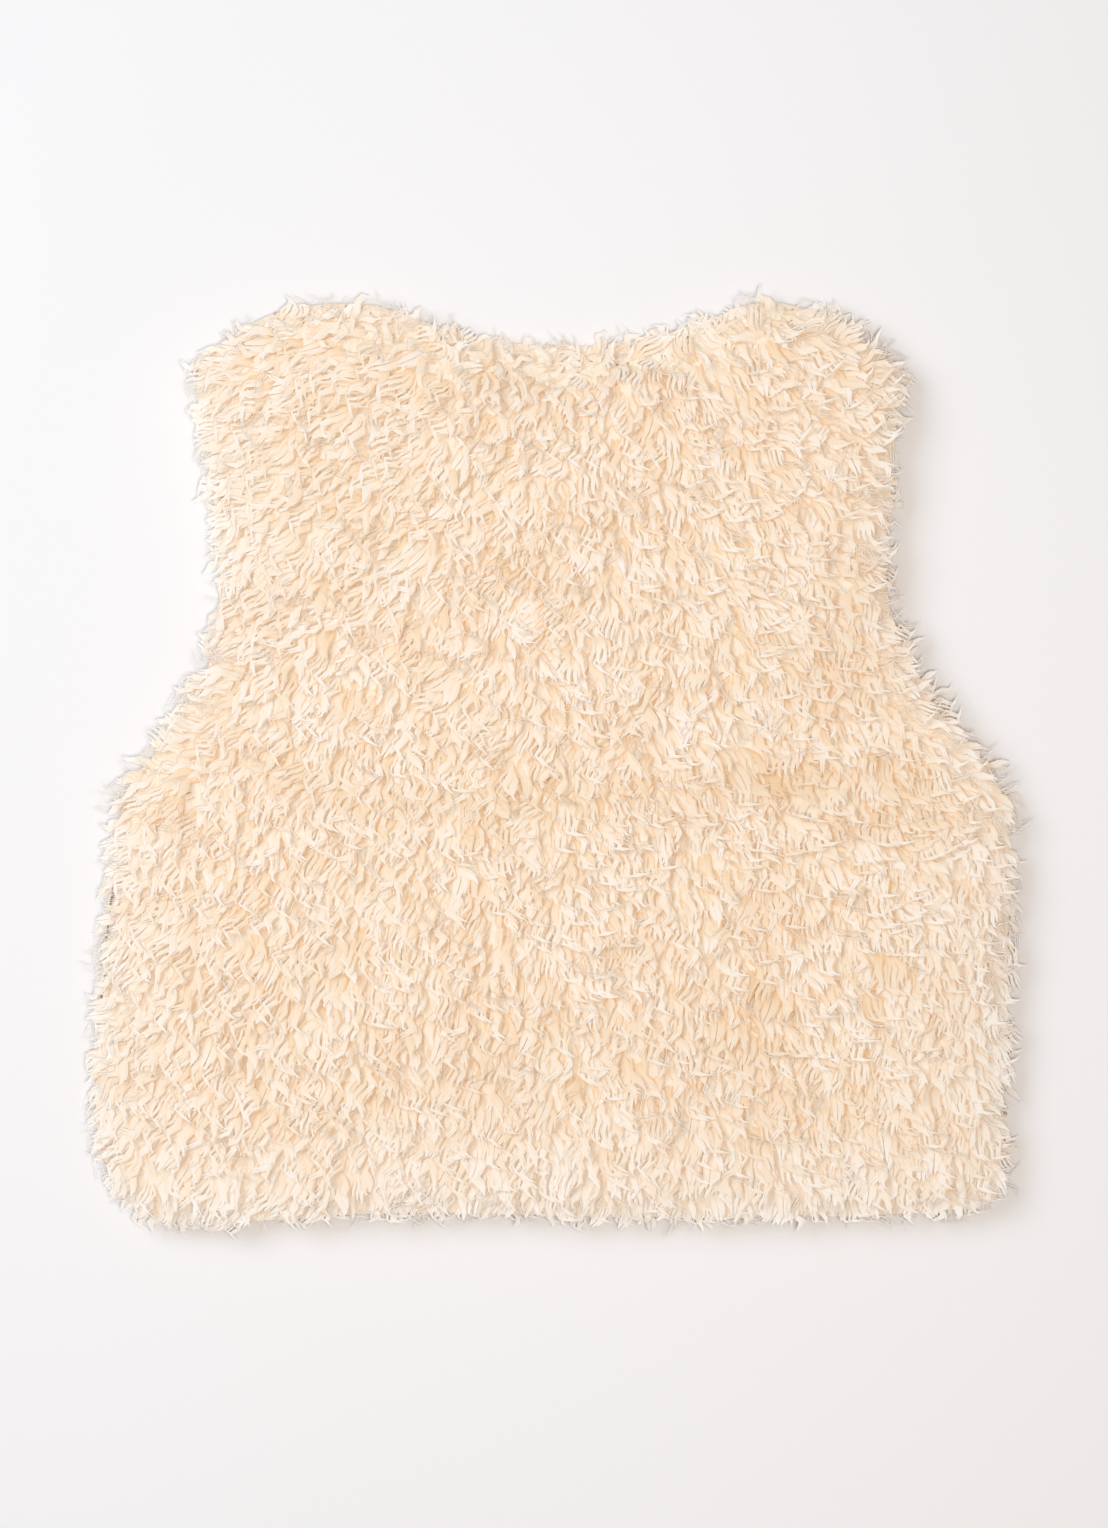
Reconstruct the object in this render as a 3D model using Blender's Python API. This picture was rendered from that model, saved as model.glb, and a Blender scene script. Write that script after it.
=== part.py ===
"""Cropped faux fur vest, laid flat on a table with its back up.

One back panel lies on two front panels. All three are curly-pile fur cloth, so each
wall is as thick as its pile. The side and shoulder seams join back and fronts at the
edge; the neck, the armholes, the hem and the centre front are open edges.

Axes: +X to the right seen from above, +Y from the hem to the neck, +Z up.
"""

import math
import random

import bmesh
import bpy
import numpy as np

# Driving dimensions in metres, pile included
VEST_LENGTH = 0.503
CHEST_WIDTH = 0.500
FRONT_THICKNESS = 0.012
BACK_THICKNESS = 0.0175

# Gaps left where panels meet
LAYER_GAP = 0.0003
CENTRE_FRONT_GAP = 0.0006

# Rounding of the furry edges
BACK_EDGE_ROUND = 0.020
OPEN_EDGE_LIFT = 0.0050
SEAM_BLEND = 0.030

# How far in from the front's neck edge the back starts to sink to the table, and over what reach
SAG_START = 0.016
SAG_REACH = 0.034

# Left and right sides of the vest, from hem to shoulder tip.
# Columns: height as a share of the length, left and right reach as shares of half the chest.
SIDE_STATIONS = (
    (0.015, 0.930, 0.962),
    (0.055, 0.972, 0.986),
    (0.115, 0.998, 0.986),
    (0.270, 0.988, 0.990),
    (0.375, 0.974, 1.005),
    (0.474, 0.952, 0.998),
    (0.519, 0.871, 0.918),
    (0.562, 0.806, 0.832),
    (0.608, 0.752, 0.780),
    (0.655, 0.731, 0.751),
    (0.702, 0.729, 0.735),
    (0.765, 0.744, 0.744),
    (0.827, 0.765, 0.753),
    (0.912, 0.795, 0.774),
)
UNDERARM_HEIGHT = 0.474

# Shoulders and neck, from the left shoulder tip to the right one.
# Columns: place across as a share of half the chest, height as a share of the length.
TOP_STATIONS = (
    (-0.795, 0.912),
    (-0.734, 0.943),
    (-0.613, 0.983),
    (-0.532, 0.993),
    (-0.352, 0.993),
    (-0.288, 0.977),
    (-0.204, 0.962),
    (-0.087, 0.953),
    (0.019, 0.949),
    (0.146, 0.953),
    (0.252, 0.962),
    (0.348, 0.980),
    (0.411, 0.998),
    (0.475, 1.001),
    (0.613, 0.973),
    (0.719, 0.941),
    (0.774, 0.912),
)
NECK_POINTS = (-0.352, 0.411)

# Hem, from the left corner to the right one, with the same columns.
HEM_STATIONS = (
    (-0.930, 0.015),
    (-0.829, -0.001),
    (-0.659, -0.003),
    (-0.490, 0.004),
    (-0.320, 0.007),
    (0.019, 0.005),
    (0.358, 0.001),
    (0.697, 0.006),
    (0.962, 0.015),
)

# Hidden front: how much deeper its armhole is cut, and the plain rounded V of its neck.
FRONT_ARMHOLE_SCOOP = 0.009
FRONT_NECK_BOTTOM = 0.790
FRONT_NECK_BOW = 0.012

# Soft creases in the back, where the folded vest was opened out.
# Columns: start across and height, end across and height (shares as above), depth, half width.
CREASES = (
    (-1.00, 0.480, -0.35, 0.492, 0.0030, 0.013),
    (-0.35, 0.492, 0.42, 0.488, 0.0034, 0.016),
    (0.42, 0.488, 1.00, 0.470, 0.0026, 0.013),
    (0.36, 0.375, 0.39, 0.065, 0.0028, 0.012),
    (0.40, 0.480, 0.13, 0.300, 0.0018, 0.012),
    (-0.62, 0.640, -0.55, 0.500, 0.0016, 0.010),
)

# Soft swells between the creases.
# Columns: place across, height (shares as above), rise, radius.
SWELLS = (
    (-0.55, 0.80, 0.0022, 0.060),
    (0.58, 0.84, 0.0024, 0.055),
    (0.05, 0.68, 0.0018, 0.070),
    (-0.72, 0.34, 0.0020, 0.065),
    (-0.15, 0.28, 0.0024, 0.085),
    (0.72, 0.30, 0.0022, 0.060),
    (-0.45, 0.08, 0.0012, 0.050),
    (0.12, 0.07, 0.0014, 0.055),
)

# Way the pile lies on the back: it spreads from the nape and runs down to the hem.
# Columns: place across, height (shares as above), bearing in degrees clockwise from the hem.
NAP_GUIDES = (
    (-0.70, 0.95, 72.0),
    (-0.70, 0.78, 48.0),
    (-0.45, 0.90, 52.0),
    (-0.45, 0.66, 32.0),
    (-0.10, 0.88, 38.0),
    (-0.10, 0.66, 16.0),
    (0.12, 0.93, -8.0),
    (0.30, 0.80, -34.0),
    (0.55, 0.92, -74.0),
    (0.68, 0.75, -62.0),
    (0.62, 0.58, -42.0),
    (0.85, 0.48, -56.0),
    (0.20, 0.62, -4.0),
    (-0.80, 0.44, 36.0),
    (-0.85, 0.16, 22.0),
    (-0.40, 0.40, -6.0),
    (-0.45, 0.14, 6.0),
    (0.05, 0.36, -6.0),
    (0.05, 0.10, 2.0),
    (0.52, 0.38, -18.0),
    (0.52, 0.12, -22.0),
    (0.90, 0.30, -6.0),
    (0.90, 0.08, -4.0),
)
NAP_GUIDE_REACH = 0.16

# Clumps of pile raised on the back: each spans two columns of the panel's mesh and a few rows.
BACK_COLUMNS = 60
BACK_ROWS = 60
RIM_STEPS = (0.0, 0.007, 0.019, 0.036)
INSIDE_STEP = 2
CLUMP_ROWS = (3, 4, 4, 5)
CLUMP_RAISE = 0.0056
CLUMP_LEAN = 0.0046
EDGE_TUFT = 0.0046

# Points round each front panel, for its hem, centre, shoulder and side
FRONT_HEM_POINTS = 28
FRONT_CENTRE_POINTS = 52
FRONT_SHOULDER_POINTS = 16
FRONT_SIDE_POINTS = 56
# Rings that round the front's edge. Columns: ring's share of the panel, share of the way down.
FRONT_EDGE_RINGS = (
    (0.9930, 0.48),
    (0.9780, 0.84),
    (0.9550, 1.00),
)
FRONT_INNER_RING = 0.965
BACK_INNER_RING = 0.955

FUR_COLOUR = (0.913, 0.730, 0.546, 1.0)
FUR_ROUGHNESS = 0.85

SEAM_PLANE = FRONT_THICKNESS


def place(across, height):
    """A point of the flat pattern, from shares of half the chest and of the length."""
    return np.array((across * CHEST_WIDTH / 2, height * VEST_LENGTH))


def curve_through(stations, count):
    """Count + 1 evenly spaced points on a Catmull-Rom curve through the stations."""
    knots = np.array([2 * stations[0] - stations[1], *stations, 2 * stations[-1] - stations[-2]])
    fine = []
    for i in range(1, len(knots) - 2):
        before, start, end, after = knots[i - 1 : i + 3]
        for t in np.linspace(0, 1, 16, endpoint=False):
            fine.append(
                0.5
                * (
                    2 * start
                    + (end - before) * t
                    + (2 * before - 5 * start + 4 * end - after) * t**2
                    + (3 * start - before - 3 * end + after) * t**3
                )
            )
    fine = np.array([*fine, stations[-1]])
    length = np.concatenate(([0], np.cumsum(np.linalg.norm(np.diff(fine, axis=0), axis=1))))
    wanted = np.linspace(0, length[-1], count + 1)
    return np.stack([np.interp(wanted, length, fine[:, k]) for k in (0, 1)], axis=1)


FINE = 400
BACK_BOUNDARY = {
    "hem": curve_through([place(*s) for s in HEM_STATIONS], FINE),
    "top": curve_through([place(*s) for s in TOP_STATIONS], FINE),
    "left": curve_through([place(-left, height) for height, left, _ in SIDE_STATIONS], FINE),
    "right": curve_through([place(right, height) for height, _, right in SIDE_STATIONS], FINE),
}


def armhole_scoop(height):
    """How far the front's armhole lies inside the back's at a height in metres."""
    foot, top = UNDERARM_HEIGHT * VEST_LENGTH, SIDE_STATIONS[-1][0] * VEST_LENGTH
    share = min(max((height - foot) / (top - foot), 0.0), 1.0)
    return FRONT_ARMHOLE_SCOOP * math.sin(math.pi * share)


def front_boundary(side):
    """The four edges of a front panel. Side is -1 for the wearer's left, 1 for the right."""
    outer = BACK_BOUNDARY["left" if side < 0 else "right"].copy()
    outer[:, 0] -= side * np.array([armhole_scoop(y) for y in outer[:, 1]])
    neck_point = place(NECK_POINTS[0 if side < 0 else 1], np.interp(
        NECK_POINTS[0 if side < 0 else 1], *np.array(TOP_STATIONS).T))
    centre = side * CENTRE_FRONT_GAP / 2
    hem = BACK_BOUNDARY["hem"]
    hem_half = hem[hem[:, 0] * side > abs(centre)]
    hem_half = hem_half[::-1] if side < 0 else hem_half
    hem_centre = np.array((centre, hem_half[0, 1]))
    v_bottom = np.array((centre, FRONT_NECK_BOTTOM * VEST_LENGTH))
    bow = np.array((side * FRONT_NECK_BOW, -FRONT_NECK_BOW))
    neck = [
        v_bottom + (neck_point - v_bottom) * t + bow * math.sin(math.pi * t)
        for t in np.linspace(0, 1, 24)
    ]
    top = BACK_BOUNDARY["top"]
    on_shoulder = (top[:, 0] - neck_point[0]) * side > 0
    shoulder = top[on_shoulder][::-1] if side < 0 else top[on_shoulder]
    edges = {
        "hem": [hem_centre, *hem_half],
        "inner": [*np.linspace(hem_centre, v_bottom, 40), *neck[1:]],
        "top": [neck_point, *shoulder],
        "outer": list(outer),
    }
    edges["top"][-1] = outer[-1]
    edges["hem"][-1] = outer[0]
    return {name: evenly(points) for name, points in edges.items()}


def evenly(points):
    """The same line with FINE + 1 evenly spaced points."""
    points = np.array(points)
    length = np.concatenate(([0], np.cumsum(np.linalg.norm(np.diff(points, axis=0), axis=1))))
    wanted = np.linspace(0, length[-1], FINE + 1)
    return np.stack([np.interp(wanted, length, points[:, k]) for k in (0, 1)], axis=1)


def along(edge, share):
    """The point at a share of the way along an edge of FINE + 1 points."""
    at = min(max(share, 0.0), 1.0) * FINE
    low = min(int(at), FINE - 1)
    return edge[low] + (edge[low + 1] - edge[low]) * (at - low)


def patch_point(hem, top, start, end, u, v):
    """The panel's point at u across and v up, from its four edges."""
    sides = (1 - u) * along(start, v) + u * along(end, v)
    ends = (1 - v) * along(hem, u) + v * along(top, u)
    corners = (1 - v) * ((1 - u) * hem[0] + u * hem[-1]) + v * ((1 - u) * top[0] + u * top[-1])
    return sides + ends - corners


def steps_across(count):
    """Shares from 0 to 1: short steps at both rims and even ones between them."""
    inner = np.linspace(RIM_STEPS[-1], 1 - RIM_STEPS[-1], count - 2 * len(RIM_STEPS) + 3)
    return [*RIM_STEPS[:-1], *inner, *[1 - step for step in reversed(RIM_STEPS[:-1])]]


def openness(edge, share, point):
    """1 on an open edge of the garment, 0 on a seam, with a soft change between them."""
    blend = SEAM_BLEND / 2
    if edge == "hem":
        return 1.0
    if edge in ("left", "right", "outer"):
        above = point[1] - UNDERARM_HEIGHT * VEST_LENGTH
        below_tip = SIDE_STATIONS[-1][0] * VEST_LENGTH - point[1]
        near_hem = 1 - min(point[1] / SEAM_BLEND, 1.0)
        in_armhole = min(max(above / blend, 0.0), max(below_tip / blend, 0.0), 1.0)
        return max(in_armhole, near_hem)
    if edge == "inner":
        return 1 - max(0.0, 1 - (1 - share) * 8)
    in_neck = min(point[0] - NECK_POINTS[0] * CHEST_WIDTH / 2, NECK_POINTS[1] * CHEST_WIDTH / 2 - point[0])
    return min(max(in_neck / blend, 0.0), 1.0)


def nap_direction(point):
    """Unit vector along which the pile lies at a point of the back."""
    way = np.zeros(2)
    for across, height, bearing in NAP_GUIDES:
        apart = (point - place(across, height)) / (NAP_GUIDE_REACH * VEST_LENGTH)
        weight = math.exp(-float(apart @ apart))
        angle = math.radians(bearing)
        way += weight * np.array((-math.sin(angle), -math.cos(angle)))
    return way / max(float(np.linalg.norm(way)), 1e-9)


def crease_depth(point):
    """How deep the creases are at a point of the back, less the swells between them."""
    depth = 0.0
    for x0, y0, x1, y1, deep, half_width in CREASES:
        start, end = place(x0, y0), place(x1, y1)
        run = end - start
        share = min(max(float((point - start) @ run / (run @ run)), 0.0), 1.0)
        apart = float(np.linalg.norm(point - start - run * share))
        depth = max(depth, deep * math.exp(-((apart / half_width) ** 2)))
    for across, height, rise, radius in SWELLS:
        apart = float(np.linalg.norm(point - place(across, height)))
        depth -= rise * math.exp(-((apart / radius) ** 2))
    return depth


def neck_sag(point):
    """How far the back sinks at a point, where no front lies under it."""
    for side, edge in NECK_EDGES.items():
        edge_x = np.interp(point[1], edge[:, 1], edge[:, 0])
        if point[1] < edge[0, 1] or (edge_x - point[0]) * side < 0:
            return 0.0
    apart = min(float(np.linalg.norm(edge - point, axis=1).min()) for edge in NECK_EDGES.values())
    share = min(max((apart - SAG_START) / SAG_REACH, 0.0), 1.0)
    return (SEAM_PLANE + LAYER_GAP / 2) * share * share * (3 - 2 * share)


def rounded(share):
    """Quarter-round rise from 0 at an edge to 1 where the rounding ends."""
    share = min(max(share, 0.0), 1.0)
    return math.sqrt(1 - (1 - share) ** 2)


def clump_heights(columns, rows):
    """Raise of each mesh point of the back, 0 to 1, as uneven clumps that end high at their tips."""
    chance = random.Random(11)
    raised = {}
    for i in range(columns + 1):
        tip = -chance.randrange(CLUMP_ROWS[-1])
        while tip <= rows:
            long = chance.choice(CLUMP_ROWS)
            strength = chance.uniform(0.6, 1.0) if i % 2 else chance.uniform(0.05, 0.35)
            for k in range(long):
                raised[i, tip + k] = strength * (1 - k / long)
            tip += long
    return raised


def back_grid():
    """Outer points of the back panel, row by row, and the round of its edge."""
    across, up = steps_across(BACK_COLUMNS), steps_across(BACK_ROWS)
    edges = BACK_BOUNDARY
    flat = {
        (i, j): patch_point(edges["hem"], edges["top"], edges["left"], edges["right"], u, v)
        for i, u in enumerate(across)
        for j, v in enumerate(up)
    }
    rim = [(i, j) for i, j in flat if i in (0, BACK_COLUMNS) or j in (0, BACK_ROWS)]
    rim_keys = set(rim)
    rim_points = np.array([flat[key] for key in rim])
    rim_lift = []
    for i, j in rim:
        name = "hem" if j == 0 else "top" if j == BACK_ROWS else "left" if i == 0 else "right"
        rim_lift.append(OPEN_EDGE_LIFT * openness(name, 0.0, flat[i, j]))
    centre = rim_points.mean(axis=0)
    raised = clump_heights(BACK_COLUMNS, BACK_ROWS)
    chance = random.Random(23)
    points = {}
    for (i, j), point in flat.items():
        apart = np.linalg.norm(rim_points - point, axis=1)
        nearest = int(apart.argmin())
        edge_height = SEAM_PLANE + LAYER_GAP / 2 + rim_lift[nearest]
        round_share = rounded(float(apart[nearest]) / BACK_EDGE_ROUND)
        top = SEAM_PLANE + BACK_THICKNESS - crease_depth(point) + CLUMP_RAISE * (raised[i, j] - 0.4)
        height = edge_height + (top - edge_height) * round_share - neck_sag(point)
        if (i, j) in rim_keys:
            outwards = (point - centre) / np.linalg.norm(point - centre)
            tuft = EDGE_TUFT * (((i + j) % 2) - 0.5) * chance.uniform(0.4, 1.6)
            point = point + outwards * tuft
        else:
            lean = CLUMP_LEAN * (raised[i, j] - 0.3) * round_share
            point = point + nap_direction(point) * lean
        points[i, j] = (point[0], point[1], height)
    return points


def back_inside():
    """Inner points of the back panel: plain, and sunk to the table inside the front's neck."""
    across, up = steps_across(BACK_COLUMNS), steps_across(BACK_ROWS)
    edges = BACK_BOUNDARY
    points = {}
    for i in range(0, BACK_COLUMNS + 1, INSIDE_STEP):
        for j in range(0, BACK_ROWS + 1, INSIDE_STEP):
            u, v = (0.5 + (share - 0.5) * BACK_INNER_RING for share in (across[i], up[j]))
            point = patch_point(edges["hem"], edges["top"], edges["left"], edges["right"], u, v)
            points[i, j] = (point[0], point[1], SEAM_PLANE + LAYER_GAP / 2 - neck_sag(point))
    return points


def ring_of(edges, share, counts):
    """A closed ring inside a panel's four edges, shrunk about the panel's middle."""
    hem, end, top, start = edges
    outline = [
        *[(k / counts[0], 0.0) for k in range(counts[0])],
        *[(1.0, k / counts[1]) for k in range(counts[1])],
        *[(1 - k / counts[2], 1.0) for k in range(counts[2])],
        *[(0.0, 1 - k / counts[3]) for k in range(counts[3])],
    ]
    return [
        patch_point(hem, top, start, end, 0.5 + (u - 0.5) * share, 0.5 + (v - 0.5) * share)
        for u, v in outline
    ]


NECK_EDGES = {}
for neck_side in (-1, 1):
    neck_edge = front_boundary(neck_side)["inner"]
    NECK_EDGES[neck_side] = neck_edge[neck_edge[:, 1] >= FRONT_NECK_BOTTOM * VEST_LENGTH]


def mesh_object(name, faces_of):
    """A panel: an object with its own fur material, filled by faces_of(mesh)."""
    mesh = bmesh.new()
    faces_of(mesh)
    bmesh.ops.recalc_face_normals(mesh, faces=mesh.faces)
    data = bpy.data.meshes.new(name)
    mesh.to_mesh(data)
    mesh.free()
    data.shade_smooth()
    panel = bpy.data.objects.new(name, data)
    bpy.context.scene.collection.objects.link(panel)
    data.materials.append(fur_material(name + "_fur"))
    return panel


def fur_material(name):
    """Matt cream pile."""
    material = bpy.data.materials.new(name)
    material.use_nodes = True
    shader = material.node_tree.nodes["Principled BSDF"]
    shader.inputs["Base Color"].default_value = FUR_COLOUR
    shader.inputs["Roughness"].default_value = FUR_ROUGHNESS
    shader.inputs["Metallic"].default_value = 0.0
    return material


def bridge(mesh, lower, upper):
    """Quads between two closed rings of as many points."""
    for k in range(len(lower)):
        following = (k + 1) % len(lower)
        mesh.faces.new((lower[k], lower[following], upper[following], upper[k]))


def make_back():
    """Back panel: pile raised in clumps outside, plain cloth inside."""

    def faces_of(mesh):
        points = back_grid()
        made = {key: mesh.verts.new(point) for key, point in points.items()}
        for i in range(BACK_COLUMNS):
            for j in range(BACK_ROWS):
                mesh.faces.new((made[i, j], made[i + 1, j], made[i + 1, j + 1], made[i, j + 1]))
        inside = {key: mesh.verts.new(point) for key, point in back_inside().items()}
        step = INSIDE_STEP
        for i in range(0, BACK_COLUMNS, step):
            for j in range(0, BACK_ROWS, step):
                mesh.faces.new(
                    (inside[i, j], inside[i, j + step], inside[i + step, j + step], inside[i + step, j])
                )
        rim = [
            *[(i, 0) for i in range(BACK_COLUMNS)],
            *[(BACK_COLUMNS, j) for j in range(BACK_ROWS)],
            *[(i, BACK_ROWS) for i in range(BACK_COLUMNS, 0, -1)],
            *[(0, j) for j in range(BACK_ROWS, 0, -1)],
        ]
        for k in range(0, len(rim), step):
            outer = [made[rim[(k + m) % len(rim)]] for m in range(step + 1)]
            first, last = inside[rim[k]], inside[rim[(k + step) % len(rim)]]
            for m in range(step):
                corner = first if 2 * m < step else last
                mesh.faces.new((corner, outer[m + 1], outer[m]))
                if 2 * m < step <= 2 * (m + 1):
                    mesh.faces.new((first, last, outer[m + 1]))

    return mesh_object("back", faces_of)


def make_front(side):
    """Front panel: pile pressed flat on the table, plain cloth inside."""
    parts = front_boundary(side)
    edges = [parts[name] for name in ("hem", "outer", "top", "inner")]
    counts = (FRONT_HEM_POINTS, FRONT_SIDE_POINTS, FRONT_SHOULDER_POINTS, FRONT_CENTRE_POINTS)
    names = [
        *["hem"] * counts[0],
        *["outer"] * counts[1],
        *["top"] * counts[2],
        *["inner"] * counts[3],
    ]
    inside_height = SEAM_PLANE - LAYER_GAP / 2

    def faces_of(mesh):
        chance = random.Random(31 + side)
        rim, rim_heights = [], []
        middle = np.mean([edge.mean(axis=0) for edge in edges], axis=0)
        for k, (name, point) in enumerate(zip(names, ring_of(edges, 1.0, counts))):
            before = sum(counts[: ("hem", "outer", "top", "inner").index(name)])
            share = (k - before) / counts[("hem", "outer", "top", "inner").index(name)]
            opened = openness(name, 1 - share if name == "inner" else share, point)
            if name == "top":
                opened = 0.0
            if name != "inner":
                outwards = (point - middle) / np.linalg.norm(point - middle)
                point = point + outwards * EDGE_TUFT * ((k % 2) - 0.5) * chance.uniform(0.5, 1.1)
            height = inside_height - OPEN_EDGE_LIFT * opened
            rim_heights.append(height)
            rim.append(mesh.verts.new((point[0], point[1], height)))
        inside = [
            mesh.verts.new((x, y, inside_height)) for x, y in ring_of(edges, FRONT_INNER_RING, counts)
        ]
        bridge(mesh, rim, inside)
        mesh.faces.new(inside)
        upper = rim
        for share, down in FRONT_EDGE_RINGS:
            lower = [
                mesh.verts.new((x, y, height * (1 - down)))
                for (x, y), height in zip(ring_of(edges, share, counts), rim_heights)
            ]
            bridge(mesh, lower, upper)
            upper = lower
        mesh.faces.new(upper[::-1])

    return mesh_object("front_left" if side < 0 else "front_right", faces_of)


def centre_on_origin(panels):
    """Moves the points so that the vest's box is centred over the origin."""
    corners = np.array([vertex.co[:] for panel in panels for vertex in panel.data.vertices])
    middle = (corners.min(axis=0) + corners.max(axis=0)) / 2
    for panel in panels:
        for vertex in panel.data.vertices:
            vertex.co.x -= middle[0]
            vertex.co.y -= middle[1]


def main():
    for old in list(bpy.data.objects):
        bpy.data.objects.remove(old)
    panels = [make_back(), make_front(-1), make_front(1)]
    centre_on_origin(panels)


main()
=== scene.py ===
"""Looks of the cropped faux fur vest: backing cloth, curly pile and a pale studio table.

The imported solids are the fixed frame. Each panel's backing is a thinner shell on its
solid's form, and the pile fills the room that is left, wisp by wisp, out to the solid's
outer face.
"""

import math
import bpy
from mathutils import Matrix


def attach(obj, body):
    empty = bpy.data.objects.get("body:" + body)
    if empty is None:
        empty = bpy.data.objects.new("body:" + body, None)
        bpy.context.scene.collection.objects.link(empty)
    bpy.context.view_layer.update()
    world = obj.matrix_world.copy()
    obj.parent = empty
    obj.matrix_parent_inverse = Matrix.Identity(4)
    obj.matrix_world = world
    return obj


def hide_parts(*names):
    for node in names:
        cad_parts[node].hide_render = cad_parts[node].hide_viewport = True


bl_info = {
    "name": "Faux Fur Vest",
    "version": (1, 0, 0),
    "blender": (4, 5, 0),
    "location": "3D View > Sidebar > Fur vest",
    "description": "Builds the backing, the curly pile and the studio table of a cropped vest",
    "category": "Object",
}

import bmesh
import bpy
import numpy as np
from bpy.props import FloatProperty, FloatVectorProperty, PointerProperty
from mathutils import Matrix, Vector
from mathutils.bvhtree import BVHTree
from mathutils.kdtree import KDTree

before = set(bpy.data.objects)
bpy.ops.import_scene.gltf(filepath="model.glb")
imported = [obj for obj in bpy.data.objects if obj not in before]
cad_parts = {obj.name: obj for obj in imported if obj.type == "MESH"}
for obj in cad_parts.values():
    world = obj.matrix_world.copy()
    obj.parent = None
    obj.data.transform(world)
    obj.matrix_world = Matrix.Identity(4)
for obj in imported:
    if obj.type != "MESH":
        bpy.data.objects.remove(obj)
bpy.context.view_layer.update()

# Height of the photograph's frame in its own pixels, and a pixel's size on the table
IMAGE_HEIGHT_PX = 1528
METRES_PER_PX = 0.000531

# Way the pile lies on the back, spreading from the nape and running down to the hem.
# Columns: x, y in metres, bearing in degrees clockwise from the hem seen from above.
NAP_GUIDES = (
    (-0.175, 0.226, 72.0),
    (-0.175, 0.141, 48.0),
    (-0.113, 0.201, 52.0),
    (-0.113, 0.080, 32.0),
    (-0.025, 0.191, 38.0),
    (-0.025, 0.080, 16.0),
    (0.030, 0.216, -8.0),
    (0.075, 0.151, -34.0),
    (0.138, 0.211, -74.0),
    (0.170, 0.126, -62.0),
    (0.155, 0.040, -42.0),
    (0.213, -0.010, -56.0),
    (0.050, 0.060, -4.0),
    (-0.200, -0.030, 36.0),
    (-0.213, -0.171, 22.0),
    (-0.100, -0.050, -6.0),
    (-0.113, -0.181, 6.0),
    (0.013, -0.070, -6.0),
    (0.013, -0.201, 2.0),
    (0.130, -0.060, -18.0),
    (0.130, -0.191, -22.0),
    (0.225, -0.100, -6.0),
    (0.225, -0.211, -4.0),
)
NAP_GUIDE_REACH = 0.080

# How far the fronts' pile leans in towards the middle for each metre that it runs down
FRONT_LEAN = 0.15

# How far inside the edge the tips under a front stay
TIPS_KEPT_BACK = 0.005

# Places where the pile curls about more.
# Columns: x, y, reach in metres, amount.
SWIRL_SPOTS = (
    (0.130, 0.140, 0.075, 0.55),
    (0.190, 0.040, 0.060, 0.40),
    (0.010, 0.000, 0.060, 0.45),
    (0.080, -0.010, 0.050, 0.35),
    (-0.090, 0.010, 0.050, 0.30),
)

# Length of edge over which the way out of a panel is averaged
EDGE_EASE = 0.012

# How far in from its edge a backing still draws in
DRAWN_IN = 0.030

# Nearer to the edge than this, the distance from it is measured square to it
SQUARE_TO_EDGE = 0.025

# Share of the way to their neighbours that points ease in one round
EASING = 0.6

# Edges of a backing that are sharper than this stay sharp
SHARP_DEGREES = 30.0

# Faces that turn further over than this are on the wrong side
OUTER_FACING = -0.3

# A front's face that dips this far below its flat inside is on the slope of an open edge
SLOPE_DROP = 0.0003

# A front's open edges turn up this far, and lie beyond this to each side or below this at the hem
OPEN_FACING = -0.6
OPEN_SIDE = 0.12
OPEN_HEM = -0.205

# Folds and hollows whose shade is painted into the pile's colour.
# Columns: x, y, half length, half width in metres, turn in degrees, amount.
SHADE_SPOTS = (
    (0.152, 0.076, 0.048, 0.030, 80.0, 0.42),
    (0.112, -0.003, 0.016, 0.009, -20.0, 0.75),
    (0.165, -0.024, 0.012, 0.006, 35.0, 0.75),
    (0.078, -0.008, 0.085, 0.009, 4.0, 0.42),
    (-0.070, -0.013, 0.075, 0.009, -3.0, 0.34),
    (0.104, -0.141, 0.085, 0.008, 90.0, 0.45),
    (0.060, -0.190, 0.034, 0.007, 76.0, 0.35),
    (-0.040, -0.160, 0.060, 0.026, 15.0, 0.22),
    (-0.128, -0.118, 0.034, 0.007, 62.0, 0.35),
    (-0.020, 0.108, 0.036, 0.012, 30.0, 0.25),
    (-0.120, 0.150, 0.040, 0.008, -38.0, 0.25),
    (0.205, -0.120, 0.044, 0.007, 84.0, 0.35),
)

# Small gap in the fringe of the hem: x, y and reach in metres.
HEM_GAP = (-0.150, -0.240, 0.0075)

# Painted shade: tan at the foot of the strands and between them, deep in the pile where it shades
# itself
FOOT_SHADE_COLOUR = (0.830, 0.600, 0.400, 1.0)

# What the warmer patches and wisps are multiplied by, and how much of it they get
WARM_TINT = (0.95, 0.83, 0.68, 1.0)
WARM_SHARE = 0.7

# Painted light: paler tips round the rim, where the thin fringe lets light through
RIM_TIP_LIGHT = (0.870, 0.810, 0.745, 1.0)

# Warm sheen of the fibre
SHEEN_COLOUR = (1.0, 0.90, 0.78, 1.0)

# Two tones of the knitted wrong side
KNIT_COLOUR = (0.86, 0.76, 0.63, 1.0)
KNIT_SHADE = (0.74, 0.62, 0.49, 1.0)

# Faint grain of the table top
TABLE_SHADE = (0.72, 0.69, 0.67, 1.0)

# Painted shade: what a fold's colour is multiplied by at its full amount
FOLD_SHADE = (0.90, 0.76, 0.58, 1.0)

# Painted light: paler fur towards the sides and the hem, and how far in from the edge it begins
EDGE_LIGHT_TINT = (0.876, 0.785, 0.698, 1.0)
EDGE_LIGHT_REACH = 0.075
EDGE_LIGHT_SHARE = 0.50

# How far the strands' shading leans to the cloth's own facing, as light spreads in the pile
SOFTNESS = 3.5

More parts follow.
